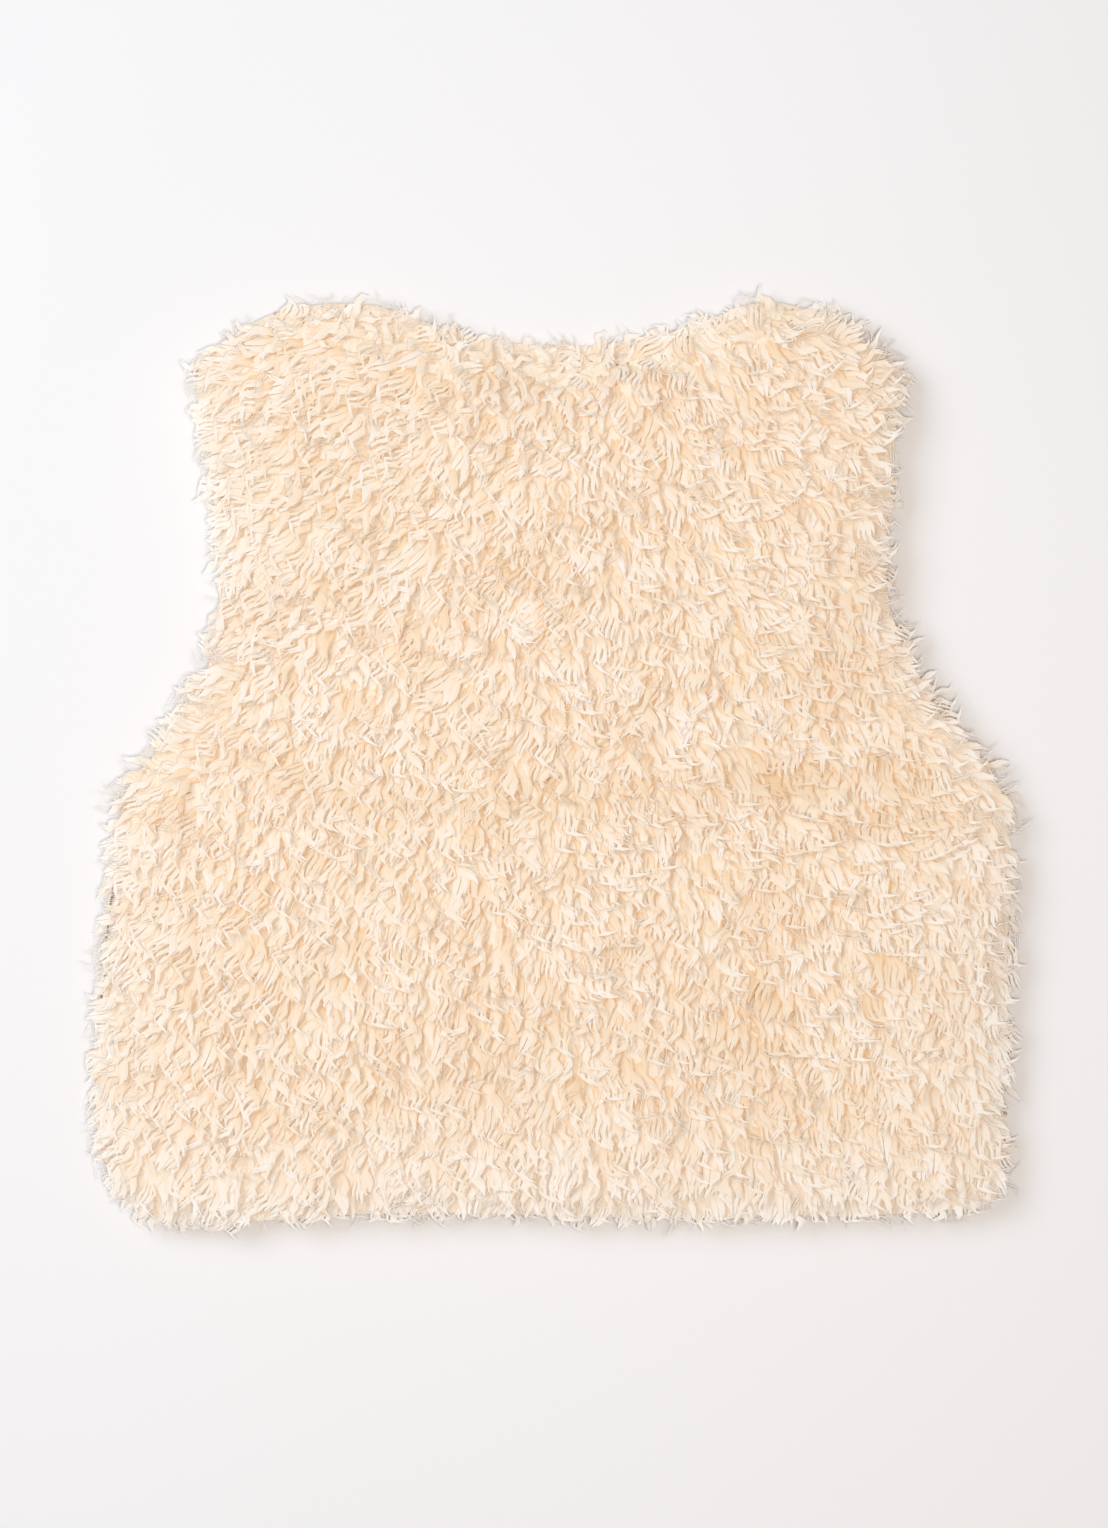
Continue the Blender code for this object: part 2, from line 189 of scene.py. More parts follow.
# Lights, camera and table of the stage
KEY_PLACE = Vector((-1.45, 0.70, 2.0))
KEY_COLOUR = (0.66, 0.82, 1.0)
OVERHEAD_PLACE = Vector((0.08, -0.08, 2.6))
OVERHEAD_COLOUR = (1.0, 0.972, 0.935)
OVERHEAD_SIZE = 0.4
AIR_COLOUR = (0.84, 0.925, 1.0, 1.0)
CAMERA_X = -0.0004
CAMERA_Y = -0.0024
SENSOR_HEIGHT_MM = 24.0
TABLE_RADIUS = 4.0

# Shapes of whole wisps, each a few strands that gather towards the tip.
# Columns: sideways wave, turns of it, its start in turns, rise, tip's rise, tip's swing, width.
WISP_SHAPES = (
    (0.0017, 1.00, 0.00, 0.0027, 0.0000, 0.0020, 1.00),
    (0.0022, 0.90, 0.30, 0.0031, 0.0010, -0.0026, 0.94),
    (0.0014, 1.30, 0.55, 0.0024, -0.0008, 0.0030, 1.06),
    (0.0025, 0.95, 0.80, 0.0034, 0.0008, 0.0009, 0.90),
    (0.0018, 1.40, 0.15, 0.0027, 0.0018, -0.0037, 0.86),
    (0.0011, 0.80, 0.45, 0.0022, -0.0010, 0.0021, 1.12),
    (0.0028, 1.05, 0.65, 0.0036, 0.0002, 0.0040, 0.88),
    (0.0016, 1.50, 0.95, 0.0027, 0.0016, -0.0024, 0.92),
    (0.0023, 1.15, 0.40, 0.0031, -0.0004, -0.0033, 1.00),
    (0.0013, 1.00, 0.70, 0.0022, 0.0020, 0.0025, 0.98),
    (0.0030, 1.25, 0.25, 0.0037, 0.0012, -0.0044, 0.84),
    (0.0020, 1.55, 0.60, 0.0029, 0.0000, 0.0034, 0.90),
)
# Strands of one wisp: four flat ones that lie side by side and overlap.
# Columns: place across it, length, height, swing of the tip apart, width, depth.
WISP_STRANDS = (
    (-0.37, 0.84, 0.0000, -0.0010, 0.0025, 0.0007),
    (-0.12, 1.00, 0.0003, -0.0002, 0.0027, 0.0008),
    (0.13, 0.94, 0.0001, 0.0006, 0.0026, 0.0008),
    (0.37, 0.80, 0.0002, 0.0014, 0.0024, 0.0007),
)

# Shapes of loose curly hairs, four to a tuft, with the columns of WISP_SHAPES.
HAIR_SHAPES = (
    (0.0028, 1.40, 0.10, 0.0050, 0.0030, 0.0050, 1.30),
    (0.0036, 1.20, 0.45, 0.0056, 0.0044, -0.0060, 1.50),
    (0.0024, 1.70, 0.70, 0.0048, 0.0038, 0.0070, 1.20),
    (0.0040, 1.05, 0.85, 0.0060, 0.0026, -0.0040, 1.40),
)
HAIR_TUFT = (
    (-0.45, 0.90, 0.0000, -0.0022, 0.0005, 0.0004),
    (-0.10, 1.05, 0.0006, 0.0008, 0.0004, 0.0004),
    (0.16, 0.96, 0.0002, -0.0012, 0.0005, 0.0004),
    (0.42, 0.80, 0.0003, 0.0024, 0.0004, 0.0004),
)

# Share of the wisps that are tufts of hairs, on the panel and at its rim
HAIR_SHARE = 0.07
RIM_HAIR_SHARE = 0.50

# Where along a strand its tip starts to curl, and how much a wisp narrows towards its tip
CURL_START = 0.50
GATHERING = 0.50

# How far a wave lags from one strand to the next, in turns, and how deep their feet sit
STRAND_LAG = 0.08
FOOT_DEPTH = 0.0010

STRAND_SIDES = 3
# Strands narrower than this are hairs, with a taper of their own.
HAIR_WIDTH = 0.0010
# Columns: place along a strand, width there.
STRAND_RINGS = ((0.0, 0.80), (0.25, 1.00), (0.50, 1.00), (0.72, 0.86), (0.90, 0.50))
HAIR_RINGS = ((0.0, 1.00), (0.26, 1.00), (0.50, 0.90), (0.72, 0.75), (0.88, 0.50))

# Stretches of the back's pile, each its own piece.
# Columns: name, west, east, south and north limits in metres.
BACK_STRETCHES = (
    ("yoke_left_pile", -1.0, -0.060, 0.000, 1.0),
    ("yoke_middle_pile", -0.060, 0.066, 0.000, 1.0),
    ("yoke_right_pile", 0.066, 1.0, 0.000, 1.0),
    ("body_left_pile", -1.0, -0.125, -1.0, 0.000),
    ("body_left_middle_pile", -0.125, 0.000, -1.0, 0.000),
    ("body_right_middle_pile", 0.000, 0.125, -1.0, 0.000),
    ("body_right_pile", 0.125, 1.0, -1.0, 0.000),
)
# A piece with as many triangles as this stops the script
MOST_TRIANGLES = 200000


class VestPile(bpy.types.PropertyGroup):
    """Sizes of the pile."""

    wisp_length: FloatProperty(
        name="Wisp length", description="Length of a wisp of pile", default=0.0250,
        min=0.005, unit="LENGTH")
    root_back: FloatProperty(
        name="Root back", description="How far behind its place a wisp starts", default=0.0045,
        min=0.0, unit="LENGTH")
    wisp_width: FloatProperty(
        name="Wisp width", description="Width of a wisp at its fullest", default=0.0056,
        min=0.001, unit="LENGTH")
    spacing: FloatProperty(
        name="Spacing", description="Least distance between wisps on the back", default=0.0030,
        min=0.002, unit="LENGTH")
    front_spacing: FloatProperty(
        name="Front spacing", description="Least distance between wisps on the fronts",
        default=0.0086, min=0.002, unit="LENGTH")
    depth: FloatProperty(
        name="Depth", description="Room for the pile over the back's backing", default=0.0066,
        min=0.001, unit="LENGTH")
    pressed_depth: FloatProperty(
        name="Pressed depth", description="Room for the pile under the fronts", default=0.0024,
        min=0.0005, unit="LENGTH")
    edge_spacing: FloatProperty(
        name="Edge spacing", description="Least distance between wisps on the fronts' edges",
        default=0.0053, min=0.002, unit="LENGTH")
    inset: FloatProperty(
        name="Inset", description="How far the pile overhangs the backing's edge",
        default=0.0082, min=0.0, unit="LENGTH")
    front_inset: FloatProperty(
        name="Front inset", description="How far the pile overhangs the fronts' backings",
        default=0.0115, min=0.0, unit="LENGTH")
    rim_reach: FloatProperty(
        name="Rim reach", description="How far in from the edge the pile turns outwards",
        default=0.0180, min=0.001, unit="LENGTH")


class VestColours(bpy.types.PropertyGroup):
    """Colours of the fur and of the table."""

    # Painted shade deep in the pile; it also shades each wisp's sides and darkens the streaks of the
    # fibre grain
    root: FloatVectorProperty(
        name="Root", description="Colour deep in the pile", subtype="COLOR", size=4,
        default=(0.800, 0.510, 0.280, 1.0), min=0.0, max=1.0)
    middle: FloatVectorProperty(
        name="Middle", description="Colour of a strand's middle", subtype="COLOR", size=4,
        default=(0.860, 0.708, 0.545, 1.0), min=0.0, max=1.0)
    tip: FloatVectorProperty(
        name="Tip", description="Colour of a strand's tip", subtype="COLOR", size=4,
        default=(0.872, 0.758, 0.650, 1.0), min=0.0, max=1.0)
    table: FloatVectorProperty(
        name="Table", description="Colour of the studio table", subtype="COLOR", size=4,
        default=(0.815, 0.752, 0.712, 1.0), min=0.0, max=1.0)


class VestStudio(bpy.types.PropertyGroup):
    """Camera and lights."""

    camera_height: FloatProperty(
        name="Camera height", description="Height of the camera over the table", default=2.4,
        min=0.5, unit="LENGTH")
    key_power: FloatProperty(
        name="Key power", description="Power of the large light", default=41.0, min=0.0,
        unit="POWER")
    overhead_power: FloatProperty(
        name="Overhead power", description="Power of the light over the camera", default=47.5,
        min=0.0, unit="POWER")
    key_size: FloatProperty(
        name="Key size", description="Side of the large light", default=1.5, min=0.05,
        unit="LENGTH")
    fill: FloatProperty(
        name="Fill", description="Strength of the light from all round", default=0.17, min=0.0)


class Wire:
    """A node's output. Operators on it add Math nodes."""

    def __init__(self, graph, socket):
        self.graph = graph
        self.socket = socket

    def __add__(self, other):
        return self.graph.maths("ADD", self, other)

    def __radd__(self, other):
        return self.graph.maths("ADD", other, self)

    def __sub__(self, other):
        return self.graph.maths("SUBTRACT", self, other)

    def __rsub__(self, other):
        return self.graph.maths("SUBTRACT", other, self)

    def __mul__(self, other):
        return self.graph.maths("MULTIPLY", self, other)

    def __rmul__(self, other):
        return self.graph.maths("MULTIPLY", other, self)

    def __truediv__(self, other):
        return self.graph.maths("DIVIDE", self, other)

    def __rtruediv__(self, other):
        return self.graph.maths("DIVIDE", other, self)


class Graph:
    """Adds nodes to one tree, a material's or a modifier's."""

    def __init__(self, tree):
        self.tree = tree

    def add(self, kind, inputs=None, output=0, **settings):
        """A node with its settings made first, then its inputs set or linked. Returns one output."""
        node = self.tree.nodes.new(kind)
        for name, value in settings.items():
            setattr(node, name, value)
        for key, value in (inputs or {}).items():
            self.plug(node.inputs[key], value)
        return Wire(self, node.outputs[output]) if node.outputs else None

    def plug(self, socket, value):
        """Links a wire to an input, or sets its value."""
        if isinstance(value, Wire):
            self.tree.links.new(value.socket, socket)
        else:
            socket.default_value = value

    def other(self, wire, output):
        """Another output of the node that a wire comes from."""
        return Wire(self, wire.socket.node.outputs[output])

    def maths(self, operation, *values):
        """A Math node."""
        return self.add("ShaderNodeMath", dict(enumerate(values)), operation=operation)

    def vector(self, operation, *values):
        """A Vector Math node."""
        inputs = dict(enumerate(values))
        if operation == "SCALE":
            inputs = {"Vector": values[0], "Scale": values[1]}
        return self.add("ShaderNodeVectorMath", inputs, operation=operation)

    def ramp(self, value, stops):
        """A colour ramp. Stops are pairs of place and colour."""
        wire = self.add("ShaderNodeValToRGB", {0: value})
        elements = wire.socket.node.color_ramp.elements
        while len(elements) < len(stops):
            elements.new(0.5)
        for element, (place, colour) in zip(elements, stops):
            element.position = place
            element.color = colour
        return wire

    def blend(self, share, first, second, mode="MIX"):
        """A Mix node on two colours."""
        return self.add(
            "ShaderNodeMix", {0: share, 6: first, 7: second}, output=2, data_type="RGBA",
            blend_type=mode)

    def stored(self, name, output="Fac"):
        """What the mesh stores under a name."""
        return self.add("ShaderNodeAttribute", output=output, attribute_name=name)


def sizes():
    """The pile's sizes, as the panel has them."""
    return bpy.context.scene.vest_pile


def colours():
    """The colours, as the panel has them."""
    return bpy.context.scene.vest_colours


def studio():
    """The camera and the lights, as the panel has them."""
    return bpy.context.scene.vest_studio


def within(value):
    """The value, kept between 0 and 1."""
    return min(max(value, 0.0), 1.0)


def made(name, build):
    """The material of this name, built on its first use."""
    material = bpy.data.materials.get(name)
    if material is None:
        material = bpy.data.materials.new(name)
        material.use_nodes = True
        build(Graph(material.node_tree), material.node_tree.nodes["Principled BSDF"])
    return material


def strand_fur():
    """Curly strands: tan roots as painted shade deep in the pile, cream tips, a slightly other tint
    for each wisp, painted shade at wisp sides and in folds, and painted light towards the edges.
    """

    def build(graph, shader):
        paint = colours()
        reach = graph.stored("reach")
        tint = graph.stored("tint")
        strand = graph.stored("strand")
        across = graph.stored("across")
        rim = graph.stored("rim")
        place = graph.add("ShaderNodeTexCoord", output="Object")
        patches = graph.add(
            "ShaderNodeTexNoise", {"Vector": place, "Scale": 30.0, "Detail": 3.0, "Roughness": 0.7})
        # Painted shade: each strand darker and warmer towards its foot, deep in the pile
        along = graph.ramp(
            reach + (tint - 0.5) * 0.20 + (graph.maths("FRACT", strand + tint) - 0.5) * 0.20,
            ((0.00, FOOT_SHADE_COLOUR), (0.34, paint.middle), (0.90, paint.tip)))
        # Painted shade along the outer sides of each wisp, where the wisps overlap
        edge_shaded = graph.blend((across - 0.52) * 1.3, along, paint.root)
        warmer = graph.blend(WARM_SHARE, edge_shaded, WARM_TINT, "MULTIPLY")
        patchy = graph.blend((0.60 - patches) * 2.6, edge_shaded, warmer)
        toned = graph.blend((0.50 - tint) * 2.0, patchy, warmer)
        hairs = graph.add("ShaderNodeUVMap", uv_map="strand")
        stretched = graph.add("ShaderNodeMapping", {"Vector": hairs, "Scale": (11.0, 2.0, 1.0)})
        grain = graph.add("ShaderNodeTexNoise", {"Vector": stretched, "Scale": 1.0, "Detail": 2.0})
        fine = graph.blend((0.56 - grain) * 1.1, toned, paint.root)
        # Painted shade in the folds and hollows of the back
        fold_shaded = graph.blend(1.0, fine, FOLD_SHADE, "MULTIPLY")
        with_fold_shade = graph.blend(graph.stored("hollow"), fine, fold_shaded)
        # Painted light: paler towards the sides and the hem
        edge_lit = graph.blend(graph.stored("pale"), with_fold_shade, EDGE_LIGHT_TINT)
        # Painted light: paler strand tips round the rim
        rim_lit = graph.blend(rim * (reach * 0.60 + 0.12), edge_lit, RIM_TIP_LIGHT)
        graph.plug(shader.inputs["Base Color"], rim_lit)
        bump = graph.add(
            "ShaderNodeBump",
            {"Strength": 0.25, "Distance": 0.0003, "Height": grain,
             "Normal": soft_facing(graph)})
        graph.plug(shader.inputs["Normal"], bump)
        soft_fibre(shader)

    return made("curly_strands", build)


def soft_facing(graph):
    """The form's normal, leaning to the pile's own facing on the side that is lit with it."""
    geometry = graph.add("ShaderNodeNewGeometry")
    form = graph.other(geometry, "Normal")
    flat = graph.add("ShaderNodeSeparateXYZ", {0: graph.other(geometry, "True Normal")}, output="Z")
    out = graph.stored("out", "Vector")
    up = graph.add("ShaderNodeSeparateXYZ", {0: out}, output="Z")
    lean = graph.maths("MAXIMUM", graph.maths("MINIMUM", flat * up * 30.0, 1.0), -1.0)
    soft = graph.vector("ADD", form, graph.vector("SCALE", out, lean * SOFTNESS))
    return graph.vector("NORMALIZE", soft)


def soft_fibre(shader):
    """Constant settings that all the fur shares."""
    shader.inputs["Roughness"].default_value = 0.62
    shader.inputs["Specular IOR Level"].default_value = 0.10
    shader.inputs["Sheen Weight"].default_value = 0.10
    shader.inputs["Sheen Roughness"].default_value = 0.45
    shader.inputs["Sheen Tint"].default_value = SHEEN_COLOUR


def under_fur():
    """Short dense fibre at the foot of the wisps."""

    def build(graph, shader):
        paint = colours()
        place = graph.add("ShaderNodeTexCoord", output="Object")
        lying = graph.add("ShaderNodeMapping", {"Vector": place, "Scale": (420.0, 110.0, 260.0)})
        fibre = graph.add(
            "ShaderNodeTexNoise",
            {"Vector": lying, "Scale": 1.0, "Detail": 3.0, "Roughness": 0.6, "Distortion": 1.2})
        tufts = graph.add(
            "ShaderNodeTexNoise",
            {"Vector": place, "Scale": 130.0, "Detail": 2.0, "Distortion": 0.8})
        # Painted shade: the tan foot colour makes the gaps between the wisps read as shadow
        shade = graph.ramp(
            fibre * 0.6 + tufts * 0.4,
            ((0.30, FOOT_SHADE_COLOUR), (0.52, paint.middle), (0.76, paint.tip)))
        graph.plug(shader.inputs["Base Color"], shade)
        bump = graph.add(
            "ShaderNodeBump",
            {"Strength": 0.6, "Distance": 0.002, "Height": fibre * 0.5 + tufts * 0.5,
             "Normal": soft_facing(graph)})
        graph.plug(shader.inputs["Normal"], bump)
        soft_fibre(shader)

    return made("under_fur", build)


def cloth_inside():
    """Plain knitted wrong side of the fur cloth."""

    def build(graph, shader):
        place = graph.add("ShaderNodeTexCoord", output="Object")
        knit = graph.add(
            "ShaderNodeTexNoise",
            {"Vector": place, "Scale": 900.0, "Detail": 2.0, "Roughness": 0.6})
        shade = graph.blend(knit * 0.35, KNIT_COLOUR, KNIT_SHADE)
        graph.plug(shader.inputs["Base Color"], shade)
        bump = graph.add("ShaderNodeBump", {"Strength": 0.4, "Distance": 0.0004, "Height": knit})
        graph.plug(shader.inputs["Normal"], bump)
        shader.inputs["Roughness"].default_value = 0.9
        shader.inputs["Specular IOR Level"].default_value = 0.2

    return made("cloth_inside", build)


def table_top():
    """Matt pale studio table."""

    def build(graph, shader):
        place = graph.add("ShaderNodeTexCoord", output="Object")
        grain = graph.add("ShaderNodeTexNoise", {"Vector": place, "Scale": 3.0, "Detail": 2.0})
        pale = graph.blend(grain * 0.03, colours().table, TABLE_SHADE)
        graph.plug(shader.inputs["Base Color"], pale)
        shader.inputs["Roughness"].default_value = 0.8
        shader.inputs["Specular IOR Level"].default_value = 0.2

    return made("pale_table", build)


def nap_at(x, y):
    """Direction in which the pile lies at a place on the back."""
    way = Vector((0.0, 0.0, 0.0))
    for guide_x, guide_y, bearing in NAP_GUIDES:
        apart = ((x - guide_x) ** 2 + (y - guide_y) ** 2) / NAP_GUIDE_REACH**2
        angle = math.radians(bearing)
        way += math.exp(-apart) * Vector((-math.sin(angle), -math.cos(angle), 0.0))
    return way.normalized()


def backing(name, node, outer_sign, depth, inset, rounds):
    """A panel's backing: its solid's form, smoothed, with room left outside it for the pile.

    outer_sign is 1 where the pile faces up and -1 where it faces the table.
    """
    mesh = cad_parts[node].data.copy()
    mesh.name = name
    mesh.materials.clear()
    panel = bpy.data.objects.new(name, mesh)
    bpy.context.scene.collection.objects.link(panel)
    shape = bmesh.new()
    shape.from_mesh(mesh)
    bmesh.ops.remove_doubles(shape, verts=shape.verts, dist=1e-5)
    bmesh.ops.recalc_face_normals(shape, faces=shape.faces)
    shape.to_mesh(mesh)
    shape.free()
    places = np.array([vertex.co[:] for vertex in mesh.vertices])
    slope_top = places[:, 2].max() - SLOPE_DROP if outer_sign < 0 else -1.0
    outer = [
        face.normal.z * outer_sign > OUTER_FACING or places[list(face.vertices), 2].min() < slope_top
        for face in mesh.polygons]
    grows = np.zeros(len(places), bool)
    lines = np.zeros(len(places), bool)
    for face, is_outer in zip(mesh.polygons, outer):
        (grows if is_outer else lines)[list(face.vertices)] = True
    normals = np.array([normal.vector[:] for normal in mesh.vertex_normals])
    ways_out, gaps = edge_of(places, normals, grows & lines)

    edges = np.array([edge.vertices[:] for edge in mesh.edges])
    places = relaxed(places, edges, grows, grows & lines, rounds)
    near = np.clip(1 - gaps / DRAWN_IN, 0.0, 1.0) ** 2
    places[:, :2] -= ways_out * (inset * near)[:, None]
    mesh.vertices.foreach_set("co", places.astype(np.float32).ravel())
    mesh.update()

    shape = bmesh.new()
    shape.from_mesh(mesh)
    solid = BVHTree.FromBMesh(shape)
    shape.free()
    down = Vector((0.0, 0.0, -outer_sign))
    for index in np.flatnonzero(grows):
        start = Vector(places[index]) + down * 1e-4
        _, normal, _, thick = solid.ray_cast(start, down)
        if normal is not None:
            places[index, 2] -= outer_sign * min(depth, 0.5 * thick)
    mesh.vertices.foreach_set("co", places.astype(np.float32).ravel())
    mesh.update()
    mesh.shade_smooth()
    mesh.set_sharp_from_angle(angle=math.radians(SHARP_DEGREES))
    mesh.materials.append(under_fur())
    mesh.materials.append(cloth_inside())
    mesh.polygons.foreach_set("material_index", [0 if is_outer else 1 for is_outer in outer])
    comb(panel, outer_sign, grows, ways_out, gaps + inset * near, inset)
    mark_stretches(mesh, outer_sign, outer)
    return panel


def edge_of(places, normals, on_border):
    """For each point, the way out over the nearest edge of its panel, and how far that is."""
    points = places[on_border][:, :2]
    apart = np.linalg.norm(points[:, None, :] - points[None, :, :], axis=2)
    ways = np.exp(-((apart / EDGE_EASE) ** 2)) @ normals[on_border][:, :2]
    ways /= np.linalg.norm(ways, axis=1)[:, None]
    tree = KDTree(len(points))
    for index, point in enumerate(points):
        tree.insert((point[0], point[1], 0.0), index)
    tree.balance()
    nearest = np.array([tree.find((x, y, 0.0))[1] for x, y, _ in places])
    gaps = np.sum((points[nearest] - places[:, :2]) * ways[nearest], axis=1)
    straight = np.linalg.norm(points[nearest] - places[:, :2], axis=1)
    gaps = np.where(straight < SQUARE_TO_EDGE, gaps, straight)
    return ways[nearest], np.clip(gaps, 0.0, None)


def relaxed(places, edges, loose, on_border, rounds):
    """The points with the loose ones eased towards their neighbours, and the border along itself."""
    places = places.copy()
    starts, ends = np.concatenate((edges, edges[:, ::-1])).T
    pulls = loose[starts] & loose[ends] & (on_border[ends] | ~on_border[starts])
    starts, ends = starts[pulls], ends[pulls]
    count = np.maximum(np.bincount(starts, minlength=len(places)), 1)[:, None]
    for _ in range(rounds):
        total = np.zeros_like(places)
        np.add.at(total, starts, places[ends])
        places[loose] += EASING * (total / count - places)[loose]
    return places


def comb(panel, outer_sign, grows, ways_out, room, inset):
    """Stores on a backing how its pile lies, stands, curls and thins out.

    room is each point's distance from the edge of the solid, which the tips stay near.
    """
    mesh = panel.data
    pile = sizes()
    faces_up = outer_sign > 0
    combed = {name: [] for name in COMBED}
    for vertex, normal, way_out, space in zip(mesh.vertices, mesh.vertex_normals, ways_out, room):
        x, y, _ = vertex.co
        out = normal.vector
        outwards = Vector((way_out[0], way_out[1], 0.0))
        near = within(1 - (space - inset) / pile.rim_reach)
        steep = within((0.90 - abs(out.z)) / 0.45)
        # The fronts' open edges, whose pile faces up and leans out over the table
        over = 0.0 if faces_up else within((out.z + 0.97) / 0.12)
        nap = nap_at(x, y) if faces_up else Vector((-FRONT_LEAN * math.copysign(1, x), -1.0, 0.0))

        # Turn towards the edge. Pile that would lie back from it curls over instead.
        turn = math.atan2(nap.x * outwards.y - nap.y * outwards.x, nap.dot(outwards))
        against = within(0.5 - nap.dot(outwards))
        turn *= (0.35 + 0.65 * against) * near * (1 - steep)
        curls = against > 0.70 and faces_up
        combed["flip"].append(0.90 * near**0.6 if curls else 0.0)
        combed["turn"].append(0.0 if curls else turn * outer_sign)
        combed["swirl"].append(0.75 + (0.10 + 0.80 * against) * near + swirl_at(x, y))

        # Way along the surface, down a steep side, and how far it lifts off
        way = nap * (1 - 0.5 * steep) + Vector((0.0, 0.0, -0.9 * outer_sign)) * steep
        way = way.lerp(outwards * 0.8 + Vector((0.0, 0.0, -0.5)), over)
        way -= out * way.dot(out)
        way.normalize()
        combed["nap"].append(way[:])
        lift = 7.0 + 5.0 * near if faces_up else 2.0
        lift = lift + 22.0 * steep + over * (6.0 + 22.0 * steep)
        combed["lift"].append(math.radians(lift))
        facing = out * 0.35 + Vector((0.0, 0.0, outer_sign + 2.0 * over))
        combed["out"].append(facing.normalized()[:])

        # Length that keeps the tip near the solid's edge
        turned = Matrix.Rotation(turn, 3, "Z") @ nap
        leaving = 0.85 if curls else max(turned.dot(outwards), 0.45 * near, 0.35)
        leaving += (0.85 - leaving) * over
        kept_back = 0.0 if faces_up else TIPS_KEPT_BACK * (1 - over)
        reach = (space - kept_back) / leaving + pile.root_back
        gap_x, gap_y, gap_reach = HEM_GAP
        gap = math.exp(-((x - gap_x) ** 2 + (y - gap_y) ** 2) / gap_reach**2)
        combed["long"].append(min(max(reach / pile.wisp_length, 0.40), 1.0) * (1 - 0.30 * gap))
        combed["pile"].append((1.0 - 0.32 * (1 - near)) * (1 - 0.4 * gap))

        # What the colour reads: painted shade in the folds, and painted light towards the sides and
        # the hem
        beside = within(0.6 - outwards.y)
        combed["rim"].append(near)
        combed["hollow"].append(shade_in_fold_at(x, y) if faces_up else 0.0)
        combed["pale"].append(EDGE_LIGHT_SHARE * beside * max(1 - space / EDGE_LIGHT_REACH, 0.0))
    combed["pile"] = grows * np.array(combed["pile"])
    for name, values in combed.items():
        store(mesh, name, values)


def mark_stretches(mesh, outer_sign, outer):
    """Marks each face with the stretch of pile that grows on it, or -1 on the wrong side."""
    stretch = []
    for face, is_outer in zip(mesh.polygons, outer):
        number = 0
        if outer_sign > 0:
            number = next(
                (k for k, (_, west, east, south, north) in enumerate(BACK_STRETCHES)
                 if west <= face.center.x < east and south <= face.center.y < north), 0)
        elif face.normal.z > OPEN_FACING and (
                abs(face.center.x) > OPEN_SIDE or face.center.y < OPEN_HEM):
            number = 1
        stretch.append(number if is_outer else -1)
    attribute = mesh.attributes.new("stretch", "INT", "FACE")
    attribute.data.foreach_set("value", stretch)


def swirl_at(x, y):
    """How much more the pile curls about at a place on the back."""
    return sum(
        amount * math.exp(-((x - spot_x) ** 2 + (y - spot_y) ** 2) / reach**2)
        for spot_x, spot_y, reach, amount in SWIRL_SPOTS)


def shade_in_fold_at(x, y):
    """How much painted fold shade a place on the back gets, from 0 to 1."""
    total = 0.0
    for spot_x, spot_y, length, width, degrees, amount in SHADE_SPOTS:
        angle = math.radians(degrees)
        along = (x - spot_x) * math.cos(angle) + (y - spot_y) * math.sin(angle)
        across = (y - spot_y) * math.cos(angle) - (x - spot_x) * math.sin(angle)
        total += amount * math.exp(-((along / length) ** 2) - (across / width) ** 2)
    return min(total, 1.0)


def store(mesh, name, values):
    """Stores one number or vector for each point of a mesh."""
    values = np.array(values, np.float32)
    kind, field = ("FLOAT", "value") if values.ndim == 1 else ("FLOAT_VECTOR", "vector")
    attribute = mesh.attributes.new(name, kind, "POINT")
    attribute.data.foreach_set(field, values.ravel())


def wisp_shapes():
    """A collection of wisps, kept out of the scene."""
    collection = bpy.data.collections.get("wisp_shapes")
    if collection:
        return collection
    collection = bpy.data.collections.new("wisp_shapes")
    meshes = [
        wisp_mesh(f"a_wisp_{number:02d}", row, WISP_STRANDS)
        for number, row in enumerate(WISP_SHAPES)
    ]
    meshes += [
        wisp_mesh(f"b_hairs_{number:02d}", row, HAIR_TUFT)
        for number, row in enumerate(HAIR_SHAPES)
    ]
    for mesh in meshes:
        collection.objects.link(bpy.data.objects.new(mesh.name, mesh))
    return collection


def wisp_mesh(name, row, strands):
    """A wisp of tapering closed strands that run along +Y and wave together."""
    wave, turns, start, rise, tip_rise, tip_swing, width = row
    jitter = math.tau * start
    pile = sizes()
    shape = bmesh.new()
    layers = {key: shape.verts.layers.float.new(key) for key in ("reach", "strand", "across")}
    uv = shape.loops.layers.uv.new("strand")
    for number, (across, share, height, apart, strand_width, depth) in enumerate(strands):

        def centre(s):
            t = s * share
            curl = max(t - CURL_START, 0.0) / (1 - CURL_START)
            gather = 1.0 - GATHERING * max(t, 0.0) ** 1.5
            sway = math.sin(math.tau * (turns * t + start + STRAND_LAG * number))
            sway -= math.sin(math.tau * (start + STRAND_LAG * number))
            x = wave * min(t * 2.5, 1.0) * sway + (tip_swing + apart) * curl**2
            aside = across + 0.07 * math.sin(jitter + 2.4 * number)
            x += aside * pile.wisp_width * gather * width
            y = pile.wisp_length * (t - 0.10 * curl**2) - pile.root_back
            z = rise * math.sin(math.pi * 0.62 * t) - FOOT_DEPTH + tip_rise * curl**2 + height
            return Vector((x, y, z))

        strand_rings(shape, layers, uv, centre, number, across, strand_width * width, depth)
    bmesh.ops.recalc_face_normals(shape, faces=shape.faces)
    mesh = bpy.data.meshes.new(name)
    shape.to_mesh(mesh)
    shape.free()
    mesh.shade_smooth()
    return mesh


